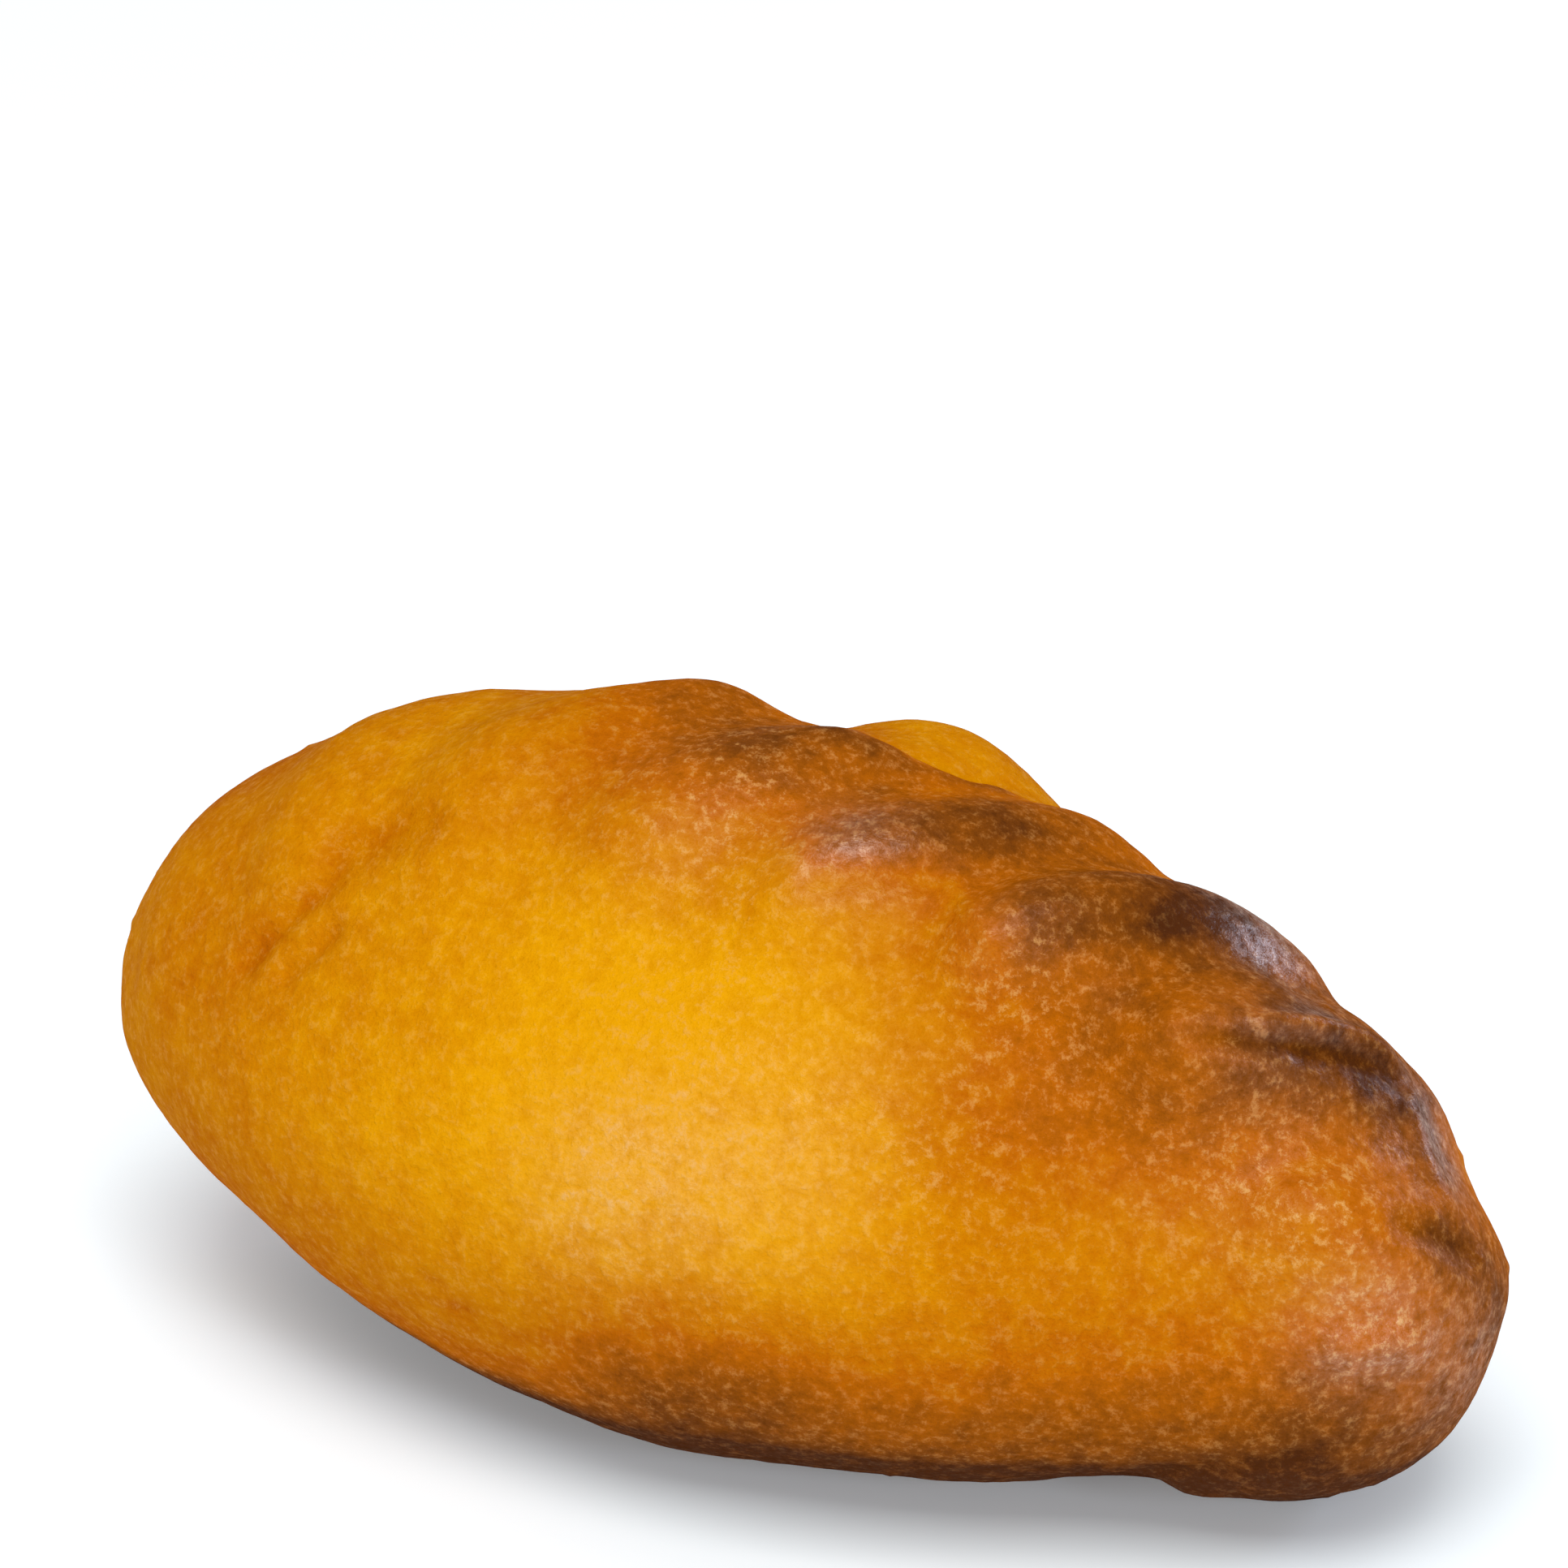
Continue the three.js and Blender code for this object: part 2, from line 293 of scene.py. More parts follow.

# A line in the dough: its height in mm, negative if pressed in, its breadth in mm, its browning, which in
# the grooves is partly painted shade and, where negative on some ridges, partly painted light, and the
# places in mm that it passes
Mark = namedtuple("Mark", "height breadth browning places")
MARKS = (
    # Lip of the last fold, paler partly as a painted highlight, the crease and pocket under it, darkened
    # as painted shade, and the lip's way down to the knob
    Mark(
        0.9, 1.0, -0.08,
        (
            (41.5, -9.5, 45.5), (44, -5.5, 44.5), (46, -2, 43), (47.5, 1.5, 41), (49.5, 4.5, 38),
            (50.5, 5, 36.5),
        ),
    ),
    Mark(
        -0.75, 1.1, 0.09,
        (
            (37, -13, 45), (40.5, -10.5, 45), (43, -8.5, 44.5), (45, -6, 43.5), (46.5, -3.5, 42.5),
            (48, -0.5, 41), (49, 1.5, 39.5), (51.5, 4, 35.5),
        ),
    ),
    Mark(-0.4, 1.6, 0.13, ((45, -7, 43), (47.5, -3.5, 41), (50, 1, 38))),
    Mark(0.6, 1.5, 0.0, ((50.5, 3, 37.5), (52.5, 1.5, 34), (55, -0.5, 31.5), (57, -1.5, 29))),
    # Dough that fills the valley above the lip
    Mark(
        1.0, 2.6, 0.06,
        ((29, -13, 43), (33.5, -9, 45.5), (36, -6, 46), (38.5, -2.5, 45.5), (44, 1, 43)),
    ),
    # Groove between that fold and the knob, darkened partly as painted shade
    Mark(-0.6, 1.6, 0.16, ((54, -9, 32.5), (56, -6.5, 31), (57, -4, 29), (59, 0, 25.5))),
    # Blunt end of the fold before it, paler partly as a painted highlight, and the crease along its crest,
    # darkened partly as painted shade
    Mark(0.4, 0.9, -0.12, ((16, -7.5, 52), (20, -10.5, 51), (22.5, -12.5, 50), (24, -13.5, 48))),
    Mark(
        -0.4, 1.5, 0.1,
        ((24.5, -13, 48.5), (27, -10.5, 50.5), (30, -8, 50.5), (34, -2.5, 49.5), (35, 0, 49)),
    ),
    # Step under the tip of the fold on top
    Mark(-0.6, 1.4, -0.08, ((6, -13.5, 52), (9.5, -12.5, 52), (14.5, -9.5, 52), (18, -6.5, 52.5))),
    # Edge of the crest in front of the lobe, and the crease behind it
    Mark(
        0.4, 1.6, 0.25,
        ((-2, 0.5, 57), (3.5, 2, 56.5), (8.5, 2.5, 55), (12.5, 5.5, 53), (15, 12, 50)),
    ),
    Mark(-0.7, 1.4, -0.1, ((2, 5.5, 56), (7.5, 6, 55), (10.5, 7.5, 53), (13.5, 13, 50))),
    # Dents that fingers left in the smooth end, darkened as painted shade
    Mark(
        -0.9, 1.4, 0.12,
        ((-41, -22, 36), (-39, -21.5, 37.5), (-37, -20.5, 40), (-35, -19.5, 42.5), (-31, -17.5, 46.5)),
    ),
    Mark(-0.7, 1.2, 0.12, ((-35.5, -23, 37), (-33, -22.5, 39.5), (-31, -21, 41.5), (-29.5, -20.5, 43))),
    Mark(-0.8, 2.4, 0.1, ((-35.5, -17.5, 45.5), (-29.5, -15.5, 48.5), (-22.5, -15, 51.5))),
    # Small wrinkles low on the belly, darkened as painted shade
    Mark(-0.2, 0.7, 0.12, ((-18, -30.5, 19.5), (-16, -30.5, 19), (-14.5, -30.5, 18.5))),
    Mark(-0.2, 0.7, 0.12, ((-15.5, -30, 17), (-13.5, -30.5, 17), (-12.5, -30, 16))),
    # Faint ridge down the side
    Mark(0.15, 0.9, -0.05, ((18.5, -22.5, 38.5), (20.5, -23.5, 35.5), (23, -24.5, 31.5))),
    # Step where the foot begins, darkened partly as painted shade
    Mark(
        -0.4, 1.6, 0.08,
        ((35, -15, 7.5), (40, -15, 9.5), (45.5, -15, 12), (50, -13.5, 13), (54, -11, 14.5)),
    ),
    # Browning along the crests of the folds, on the foot and along the seam's smooth part, which along the
    # lobe's and the seam's top edges is partly painted shade
    Mark(
        0.0, 4.2, 0.24,
        ((5, -13.5, 52), (8.5, -10.5, 54), (14.5, -5.5, 54.5), (17, -2.5, 54), (20, 5, 52)),
    ),
    Mark(0.0, 5.0, 0.14, ((-7, -6.5, 57), (0, -4, 57), (4.5, -2, 56), (13.5, -1, 54.5))),
    Mark(
        0.0, 3.6, 0.12,
        ((21.5, -13.5, 49), (25.5, -11, 51), (31.5, -5.5, 50.5), (37.5, 5.5, 46.5), (41, 7, 41.5)),
    ),
    Mark(0.0, 1.5, 0.1, ((32, -5.5, 50.5), (35, -1.5, 49.5), (38, 3, 47))),
    Mark(0.0, 3.6, 0.14, ((41.5, -6, 46), (44, -2.5, 44.5), (46.5, 1, 42))),
    Mark(0.0, 3.5, 0.18, ((50.5, 4, 37), (53, 3, 33), (56.5, -0.5, 30))),
    Mark(0.0, 3.5, 0.09, ((40, -12.5, 42.5), (45, -8, 41), (49.5, -2.5, 38))),
    Mark(0.0, 5.0, 0.06, ((48, -15.5, 20.5), (52.5, -13.5, 18.5), (55, -10.5, 16.5))),
    Mark(0.0, 4.0, 0.2, ((38.5, -12, 6.5), (44, -12, 7.5), (49, -11, 8.5), (53.5, -8.5, 10))),
    # Along the lobe's top edge: partly browning, partly painted shade at the edge
    Mark(
        0.0, 3.4, 0.1,
        ((-5, 11.5, 53.5), (0, 13, 53.5), (6, 16.5, 52.5), (10.5, 18.5, 49.5), (15, 18.5, 45.5)),
    ),
    # Along the seam's smooth part: partly a browned seam, partly painted shade along the top edge
    Mark(
        0.0, 5.0, 0.13,
        (
            (-58, -12, 30), (-54, -5.5, 40.5), (-48, -1.5, 45.5), (-41, 0.5, 49.5), (-34, 2.5, 52.5),
            (-27, 5, 53.5), (-14, 6.5, 56), (-4, 8.5, 55),
        ),
    ),
    # Wrinkle across the knob
    Mark(0.85, 1.7, 0.0, ((49.5, -15.5, 23), (54.5, -12, 23), (58.5, -6.5, 22))),
)

# Middles of the blisters that show in the photograph, in mm
BLISTERS = ((3, -7, 54.5), (3, -22.5, 43), (12, -24.5, 38.5), (-17, -9.5, 55.5), (-2, -22, 43.5))


def size(name, description, millimetres):
    """A length that the user may change, given in millimetres."""
    default = millimetres * MM
    return FloatProperty(name=name, description=description, default=default, unit="LENGTH", precision=4)


def count(name, description, number, least):
    """A whole number that the user may change, and the least it may be."""
    return IntProperty(name=name, description=description, default=number, min=least)


def share(name, description, value, **more):
    """A plain number that the user may change."""
    return FloatProperty(name=name, description=description, default=value, **more)


def turn(name, description, degrees):
    """An angle that the user may change, given in degrees."""
    default = math.radians(degrees)
    return FloatProperty(name=name, description=description, default=default, subtype="ANGLE")


def place(name, description, *millimetres):
    """A point or a set of three lengths, given in millimetres."""
    return FloatVectorProperty(
        name=name,
        description=description,
        default=[value * MM for value in millimetres],
        subtype="XYZ",
        unit="LENGTH",
    )


def linear(level):
    """The light of a screen level from 0 to 255, by the sRGB curve."""
    level /= 255
    return level / 12.92 if level <= 0.04045 else ((level + 0.055) / 1.055) ** 2.4


def paint(name, description, *light):
    """A colour that the user may change, given as light from 0 to 1."""
    return FloatVectorProperty(
        name=name,
        description=description,
        default=light,
        subtype="COLOR",
        min=0,
        max=1,
    )


def tint(name, description, *levels):
    """A colour that the user may change, given as screen levels."""
    return paint(name, description, *[linear(level) for level in levels])


class SaltenaBody(bpy.types.PropertyGroup):
    """Sizes of the plump body under the pleats."""

    belly_x: size("Belly place", "Where along the pasty it is fattest", -1.1)
    reach_left: size("Reach left", "From the belly to the left end", 58.5)
    reach_right: size("Reach right", "From the belly to the right end", 50.7)
    half_width: size("Half width", "From the middle to the side at the belly", 31.3)
    up: size("Reach up", "From the middle to the top at the belly", 29.9)
    down: size("Reach down", "From the middle to the underside at the belly", 24.3)
    fullness: share("Fullness", "How bluntly the ends are rounded", 2.09)
    width_taper: share("Width taper", "How much slimmer the right end is", 0.09)
    up_taper: share("Upper taper", "How much lower the right end's top is", -0.1)
    down_taper: share("Lower taper", "How much higher the right end's underside is", 0.14)
    axis_drop: size("Axis drop", "How far the middle line sinks towards the right", 3.3)
    flattening: size("Flattening", "How much of the underside the baking sheet presses flat", 2.0)
    flat_rounding: size("Flat's rounding", "Rounding round the flat spot", 1.5)
    spine: size("Spine", "Half the length of the straight line inside the body", 28.0)


class SaltenaPleats(bpy.types.PropertyGroup):
    """Sizes of the pleats along the seam, and of the lobe, knob and foot that end them."""

    first: size("First pleat", "Distance of the first pleat along the seam", 27.9)
    pitch: size("Pitch", "Distance from pleat to pleat", 15.6)
    lean: turn("Lean", "How far the pleats lean along the seam", 43.3)
    tip: turn("Tip", "How far the pleats tip to the far side", 8.8)
    reach: place("Reach", "Half sizes of a full pleat: along, across and out", 16.5, 7.0, 9.0)
    smallest: share("Smallest", "Size of the leftmost pleats as a share of a full one", 0.7)
    grow_from: size("Grow from", "Where the pleats start to grow", -53.4)
    grow_to: size("Grow to", "Where the pleats have their full size", -8.4)
    soft_to: size("Soft to", "Up to where the folds melt into the dough", -28.4)
    crisp_from: size("Crisp from", "From where on the folds are crisp", 25.6)
    soft_rounding: size("Soft crease", "Rounding of a soft crease between pleats", 5.0)
    rounding: size("Crisp crease", "Rounding of a crisp crease between pleats", 4.0)
    soft_root: size("Soft root", "Rounding of the pleats' soft join with the body", 14.0)
    root: size("Crisp root", "Rounding of the pleats' crisp join with the body", 5.0)
    lobe: place("Lobe place", "Along the fold, across it and above the seam", 12.2, 5.2, 3.4)
    lobe_reach: place("Lobe reach", "Half sizes of the lobe behind the seam", 10.0, 7.5, 9.0)
    lobe_rounding: size("Lobe's rounding", "Rounding where the lobe joins on", 1.5)
    knob: place("Knob place", "Middle of the seam's right end", 45.7, -1.0, 17.1)
    knob_reach: place("Knob reach", "Half sizes of the seam's right end", 10.9, 11.5, 12.6)
    knob_rounding: size("Knob's rounding", "Rounding where the knob joins on", 13.0)
    foot: place("Foot place", "Middle of the tail under the knob", 39.5, 4.0, 10.4)
    foot_reach: place("Foot reach", "Half sizes of the tail under the knob", 14.0, 12.0, 11.2)
    foot_rounding: size("Foot's rounding", "Rounding where the foot joins on", 3.0)


class SaltenaRelief(bpy.types.PropertyGroup):
    """How fine the mesh is and how uneven the crust is."""

    rings: count("Rings", "Rows of faces from end to end", 304, 40)
    spokes: count("Spokes", "Faces round each row", 312, 40)
    crowding: share("Crowding", "How much closer the faces lie along the seam", 0.35)
    swell: size("Swell", "Height of the broad unevenness of hand-made dough", 0.35)
    swell_size: size("Swell size", "Breadth of that unevenness", 17.0)
    hollow: size("Hollow", "Depth of the soft hollows between the leftmost pleats", 1.4)
    pucker: size("Pucker", "Height of the small puckers of the baked skin", 0.075)
    pucker_size: size("Pucker size", "Breadth of those puckers", 2.6)
    blister: size("Blister", "Height of the largest blisters", 0.2)
    blisters: count("Blisters", "Number of blisters scattered over the crust", 90, 0)
    blister_seed: count("Blister seed", "Number that sets where the blisters lie", 7, 0)


class SaltenaColours(bpy.types.PropertyGroup):
    """Colours of the crust from palest to darkest, and how rough it is."""

    gold: tint("Gold", "Palest crust", 221, 153, 2)
    amber: tint("Amber", "Evenly baked crust", 202, 127, 1)
    russet: tint("Russet", "Well browned crust", 181, 95, 2)
    brown: tint("Brown", "Dark crust on the folds", 125, 65, 8)
    # The darkest colour is scorched crust, and also the painted shade in the creases
    char: tint("Char", "Scorched crust in the creases", 77, 38, 12)
    # Cream is also the colour of the painted sparkle where the egg wash shines
    cream_and_sparkle: tint("Cream", "Flecks where the egg wash is thin", 216, 163, 92)
    roughness: share("Roughness", "Roughness of the crust", 0.42, min=0, max=1)
    glaze_roughness: share("Glaze roughness", "Roughness of the egg wash", 0.3, min=0, max=1)


class SaltenaStage(bpy.types.PropertyGroup):
    """Camera, floor and sky."""

    azimuth: turn("Azimuth", "Camera's turn round the pasty", 28.0)
    elevation: turn("Elevation", "Camera's height above the floor as an angle", 27.0)
    distance: size("Distance", "From the camera to its aim", 450.0)
    aim: place("Aim", "Point that the photograph's scale is taken at", 1.6, 0.0, 27.0)
    scale: share("Scale", "Pixels of the photograph for each millimetre at the aim", 15.29)
    aim_px: FloatVectorProperty(
        name="Aim in the picture",
        description="Pixel of the photograph where the aim lies",
        size=2,
        default=(1011.5, 1332.0),
    )
    floor_size: size("Floor", "Side of the floor", 6000.0)
    floor_colour: paint("Floor colour", "Colour of the floor's paper", 0.85, 0.915, 0.94)
    floor_roughness: share("Floor roughness", "Roughness of the floor's paper", 0.9, min=0, max=1)
    floor_shine: share("Floor shine", "How much the floor's paper mirrors", 0.1, min=0, max=1)
    glow_colour: paint("Glow colour", "Colour of the floor's own faint glow", 0.97, 0.985, 1.0)
    glow: share("Glow", "Strength of that glow, which keeps the floor white", 0.155)
    sky: share("Sky", "Strength of the light from all round", 0.445)


def ease(start, end, value):
    """0 up to start, 1 from end on and a smooth change between them, on whichever side the end lies."""
    part = np.clip((value - start) / (end - start), 0, 1)
    return part * part * (3 - 2 * part)


def blend(start, end, part):
    """Between start and end."""
    return start + (end - start) * part


def on_ramp(ramp, value):
    """The share that a ramp gives at a value."""
    return blend(ramp.low, ramp.high, ease(ramp.start, ramp.end, value))


def join(a, b, band):
    """Two distances as one form, with the inner corner between them rounded over a band."""
    overlap = np.maximum(band - np.abs(a - b), 0) / band
    return np.minimum(a, b) - overlap * overlap * band / 4


def body_distance(points, body):
    """Distance from the egg-shaped body, negative inside it."""
    along = points[:, 0] - body.belly_x
    part = np.where(along < 0, along / body.reach_left, along / body.reach_right)
    taper = np.clip(part, -TAPER_LIMIT, TAPER_LIMIT)
    height = points[:, 2] - (body.down - body.flattening - body.axis_drop * taper)
    up = body.up * (1 - body.up_taper * taper)
    down = body.down * (1 - body.down_taper * taper)
    half_width = body.half_width * (1 - body.width_taper * taper)
    section = np.hypot(points[:, 1] / half_width, height / np.where(height > 0, up, down))
    whole = (np.abs(part) ** body.fullness + section**body.fullness) ** (1 / body.fullness)
    return (whole - 1) * body.half_width


def lump_distance(points, lump):
    """Distance from a lump, negative inside it."""
    local = (points - lump.centre) @ lump.axes.T / lump.reach
    whole = np.linalg.norm(local, axis=1)
    slope = np.linalg.norm(local / lump.reach, axis=1)
    return whole * (whole - 1) / np.maximum(slope, LEAST_SLOPE)


def surface(distance, directions, body):
    """Points where rays from the body's straight spine leave a form, found by halving."""
    inside = np.zeros(len(directions))
    outside = np.full(len(directions), RAY_LENGTH)
    start = np.array((body.belly_x, 0, body.down - body.flattening))
    along = np.outer(directions[:, 0] * body.spine, (1, 0, 0))
    for _ in range(HALVINGS):
        middle = (inside + outside) / 2
        within = distance(start + along + directions * middle[:, None]) < 0
        inside = np.where(within, middle, inside)
        outside = np.where(within, outside, middle)
    return start + along + directions * inside[:, None]


def fold_frames(body, pleats):
    """Each pleat's point on the seam, with its axes along the fold, across it and out of the dough."""
    turns = np.radians(np.linspace(SEAM_FROM, SEAM_TO, SEAM_POINTS))
    directions = np.stack((np.sin(turns), 0 * turns, np.cos(turns)), axis=1)
    seam = surface(lambda points: body_distance(points, body), directions, body)
    steps = np.linalg.norm(np.diff(seam, axis=0), axis=1)
    lengths = np.concatenate(((0,), np.cumsum(steps)))
    frames = []
    for index in range(len(PLEAT_RISES)):
        nearby = pleats.first + pleats.pitch * index + np.array((-1, 0, 1)) * TANGENT_STEP
        before, origin, after = np.stack([np.interp(nearby, lengths, axis) for axis in seam.T], axis=1)
        tangent = (after - before) / np.linalg.norm(after - before)
        straight = np.array((-tangent[2], 0, tangent[0]))
        side = np.array((0, 1, 0))
        out = straight * math.cos(pleats.tip) + side * math.sin(pleats.tip)
        aside = side * math.cos(pleats.tip) - straight * math.sin(pleats.tip)
        fold = tangent * math.sin(pleats.lean) + aside * math.cos(pleats.lean)
        frames.append((origin, np.array((fold, np.cross(out, fold), out))))
    return frames


def crispness(x, pleats):
    """0 where the folds melt into the dough and 1 where they are crisp."""
    return ease(pleats.soft_to, pleats.crisp_from, x)


def make_folds(body, pleats):
    """The pleats as lumps, and the lobe behind one of them."""
    frames = fold_frames(body, pleats)
    folds = []
    for (origin, axes), rise in zip(frames, PLEAT_RISES):
        growth = blend(pleats.smallest, 1, ease(pleats.grow_from, pleats.grow_to, origin[0]))
        reach = np.array(pleats.reach) * growth
        rounding = blend(pleats.soft_rounding, pleats.rounding, crispness(origin[0], pleats))
        folds.append(Lump(origin + axes[2] * (rise - reach[2]), axes, reach, rounding))
    origin, axes = frames[LOBE_PLEAT]
    reach = np.array(pleats.lobe_reach)
    along, across, rise = pleats.lobe
    centre = origin + axes[0] * along + axes[1] * across + axes[2] * (rise - reach[2])
    folds.append(Lump(centre, axes, reach, pleats.lobe_rounding))
    return folds


def make_form(body, pleats):
    """A function that gives the distance from the whole pasty, negative inside it, and its folds."""
    folds = make_folds(body, pleats)
    knob = Lump(np.array(pleats.knob), np.eye(3), np.array(pleats.knob_reach), pleats.knob_rounding)
    foot = Lump(np.array(pleats.foot), np.eye(3), np.array(pleats.foot_reach), pleats.foot_rounding)

    def distance(points):
        rope = lump_distance(points, folds[0])
        for fold in folds[1:]:
            rope = join(rope, lump_distance(points, fold), fold.rounding)
        root = blend(pleats.soft_root, pleats.root, crispness(points[:, 0], pleats))
        form = join(body_distance(points, body), rope, root)
        for lump in (knob, foot):
            form = join(form, lump_distance(points, lump), lump.rounding)
        return -join(-form, points[:, 2], body.flat_rounding)

    return distance, folds


def grid_directions(relief):
    """Directions of the rings of points between the two ends, and of the ends."""
    tilts = np.linspace(0, math.pi, relief.rings + 1)[1:-1]
    turns = np.linspace(0, 2 * math.pi, relief.spokes, endpoint=False)
    turns = turns - relief.crowding * np.sin(turns)
    tilt, around = (grid.ravel() for grid in np.meshgrid(tilts, turns, indexing="ij"))
    girth = np.sin(tilt)
    rings = np.stack((-np.cos(tilt), girth * np.sin(around), girth * np.cos(around)), axis=1)
    return np.concatenate((((-1.0, 0.0, 0.0),), rings, ((1.0, 0.0, 0.0),)))


def grid_faces(relief):
    """Faces between the rings, and the fans that close the two ends."""
    rows, spokes = relief.rings - 1, relief.spokes
    first = 1 + np.arange(rows * spokes).reshape(rows, spokes)
    second = np.roll(first, -1, axis=1)
    quads = np.stack((first[:-1], second[:-1], second[1:], first[1:]), axis=2).reshape(-1, 4)
    last = rows * spokes + 1
    left = [(0, int(b), int(a)) for a, b in zip(first[0], second[0])]
    right = [(last, int(a), int(b)) for a, b in zip(first[-1], second[-1])]
    return quads.tolist() + left + right


def slopes(distance, points):
    """Outward normals of the form at its points."""
    steps = np.eye(3) * NORMAL_STEP
    normals = np.stack([distance(points + step) - distance(points - step) for step in steps], axis=1)
    return normals / np.linalg.norm(normals, axis=1, keepdims=True)


def clouds(points, breadth, layers, start):
    """Soft noise from about -1 to 1, with blotches of about the given breadth."""
    spots = (points / breadth + start).tolist()
    return np.array([noise.fractal(spot, LAYER_FADE, LAYER_GAP, layers) for spot in spots])


def uneven(points, relief):
    """Height of the crust's own unevenness over the smooth form."""
    broad = clouds(points, relief.swell_size, **SWELL_NOISE)
    small = clouds(points, relief.pucker_size, **PUCKER_NOISE)
    chosen = np.random.default_rng(relief.blister_seed).choice(len(points), relief.blisters)
    blisters = np.zeros(len(points))
    for middle in (*np.array(BLISTERS) * MM, *points[chosen]):
        blisters += bump_at(points, middle, BLISTER_BREADTH)
    return relief.swell * broad + relief.pucker * small + relief.blister * np.minimum(blisters, 1)


def bump_at(points, middle, breadth):
    """1 at the middle, falling smoothly to 0 within a few breadths."""
    return np.exp(-((points - middle) ** 2).sum(axis=1) / (2 * breadth**2))


def along_line(points, places):
    """Each point's distance from a line through places, and its share of the way along that line."""
    nearest = np.full(len(points), np.inf)
    travelled = np.zeros(len(points))
    start = 0
    for begin, end in zip(places, places[1:]):
        step = end - begin
        length = np.linalg.norm(step)
        part = np.clip((points - begin) @ step / length**2, 0, 1)
        gap = np.linalg.norm(points - begin - part[:, None] * step, axis=1)
        travelled = np.where(gap < nearest, start + part * length, travelled)
        nearest = np.minimum(gap, nearest)
        start += length
    return nearest, travelled / start


def marked(points):
    """Height of the marks at each point, and their browning, with painted shade and light in it."""
    height = np.zeros(len(points))
    browned_and_shaded = np.zeros(len(points))
    for mark in MARKS:
        gap, part = along_line(points, np.array(mark.places) * MM)
        fade = ease(*MARK_FADES_IN, part) * ease(*MARK_FADES_OUT, part)
        strength = np.exp(-((gap / (mark.breadth * MM)) ** 2)) * fade
        height += strength * mark.height * MM
        browned_and_shaded += strength * mark.browning
    patches = clouds(points, MARK_PATCH_BREADTH, **MARK_NOISE)
    return height, browned_and_shaded * (1 + MARK_PATCHINESS * patches)


def far_hollows(points, folds, pleats):
    """1 in the soft hollows before the leftmost pleats, on the seam's far slope, and 0 beside them."""
    between = pleats.pitch * math.cos(pleats.lean) / 2
    depth = np.zeros(len(points))
    for fold in folds[:LOBE_PLEAT]:
        along, across, out = ((points - fold.centre) @ fold.axes.T).T
        near = np.exp(-(((across - between) / HOLLOW_BREADTH) ** 2))
        length = ease(*HOLLOW_SETS_IN, along) * ease(*HOLLOW_ENDS, along)
        depth += near * length * ease(*HOLLOW_LOWEST, out)
    return depth


def creases(points, folds, pleats):
    """1 in the crease between two pleats, falling to 0 beside it."""
    nearest = np.sort([lump_distance(points, fold) for fold in folds], axis=0)[:2]
    between = np.exp(-(((nearest[1] - nearest[0]) / CREASE_BREADTH) ** 2))
    return between * ease(*CREASE_ENDS, nearest[0]) * crispness(points[:, 0], pleats)


def browning(points, normals, folds):
    """How well baked the crust is at each point, with painted light and shade, from 0, palest, to 1,
    darkest.
    """
    x, _, z = (points / MM).T
    bake_and_shade = EVEN_BROWNING + PATCH_BROWNING * clouds(points, PATCH_BREADTH, **PATCH_NOISE)
    for zone in BROWNED_ZONES:
        bake_and_shade += zone.browning * on_ramp(zone.x, x) * on_ramp(zone.z, z)
    # Darker on faces that look down: partly browning from the baking sheet, partly painted shade under the
    # pasty
    bake_and_shade += DOWNWARD_BROWNING_AND_SHADE * ease(*DOWNWARD_SLOPE, normals[:, 2])
    for fold, amount in zip(folds, PLEAT_BROWNING):
        along, across, out = ((points - fold.centre) @ fold.axes.T / fold.reach).T
        fade = np.exp(-PLEAT_FADE_ALONG * along**2 - PLEAT_FADE_ACROSS * across**2)
        bake_and_shade += amount * fade * ease(*PLEAT_TOP, out)
    return bake_and_shade + spotted(points, BAKED_AND_SHADED_SPOTS)


def spotted(points, spots):
    """Sum of soft round spots."""
    total = np.zeros(len(points))
    for middle, breadth, amount in spots:
        total += amount * bump_at(points, np.array(middle) * MM, breadth * MM)
    return total


def glazing(points, bake_and_shade, height):
    """How much the egg wash shines at each point, from 0 to 1, and not in the creases."""
    shine = EVEN_SHINE + DARK_SHINE * ease(*DARK_BAKE, bake_and_shade) + spotted(points, GLAZED_SPOTS)
    return np.clip(shine, 0, 1) * ease(*MATT_DEPTH, height)


def new_mesh_object(name, points, faces):
    """A mesh object of these points and faces, in the scene."""
    mesh = bpy.data.meshes.new(name)
    mesh.from_pydata(points.tolist(), [], faces)
    mesh.validate()
    mesh.shade_smooth()
    made = bpy.data.objects.new(name, mesh)
    bpy.context.scene.collection.objects.link(made)
    return made


def add_values(mesh, name, values):
    """A named value on each point of a mesh, for the material to read."""
    attribute = mesh.attributes.new(name, "FLOAT", "POINT")
    attribute.data.foreach_set("value", np.asarray(values, dtype=np.float32))


